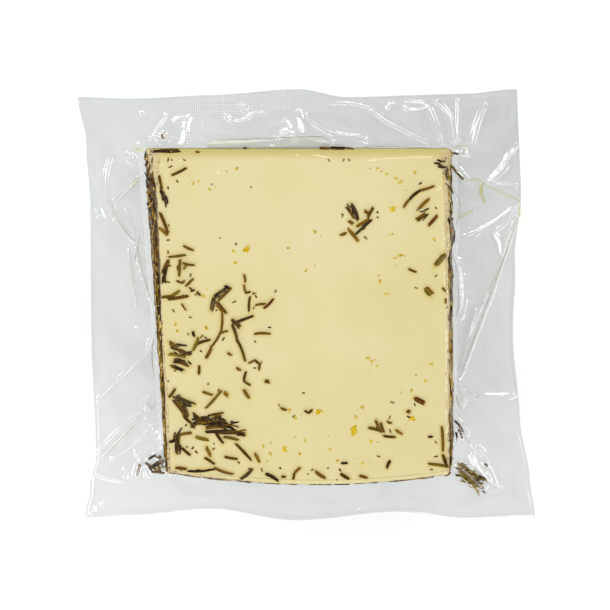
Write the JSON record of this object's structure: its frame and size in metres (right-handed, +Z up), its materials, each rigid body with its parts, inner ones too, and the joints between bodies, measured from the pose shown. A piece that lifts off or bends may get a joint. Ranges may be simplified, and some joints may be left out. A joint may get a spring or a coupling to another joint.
{
  "type": "wedge of rosemary-coated manchego cheese in a clear vacuum pack",
  "caption": "Wedge of pale hard cheese with a rosemary-coated rind, shut in a clear vacuum pack with a flat sealed flange and a blank label on its back; lies flat.",
  "frame": {"origin": "middle of the bounding box, on the floor that the flat back film lies on", "axes": "+Z up, +Y towards the wedge's thin edge, -Y towards the rind, +X to the right in the picture"},
  "size_m": [0.1474, 0.15, 0.0436],
  "materials": {
    "packed_cheese": "pale cheese with brown and olive rosemary under clear glossy film",
    "label_paper": "blank matte paper"
  },
  "bodies": {
    "root": {"vacuum_pack": "packed_cheese", "label": "label_paper"}
  },
  "joints": []
}
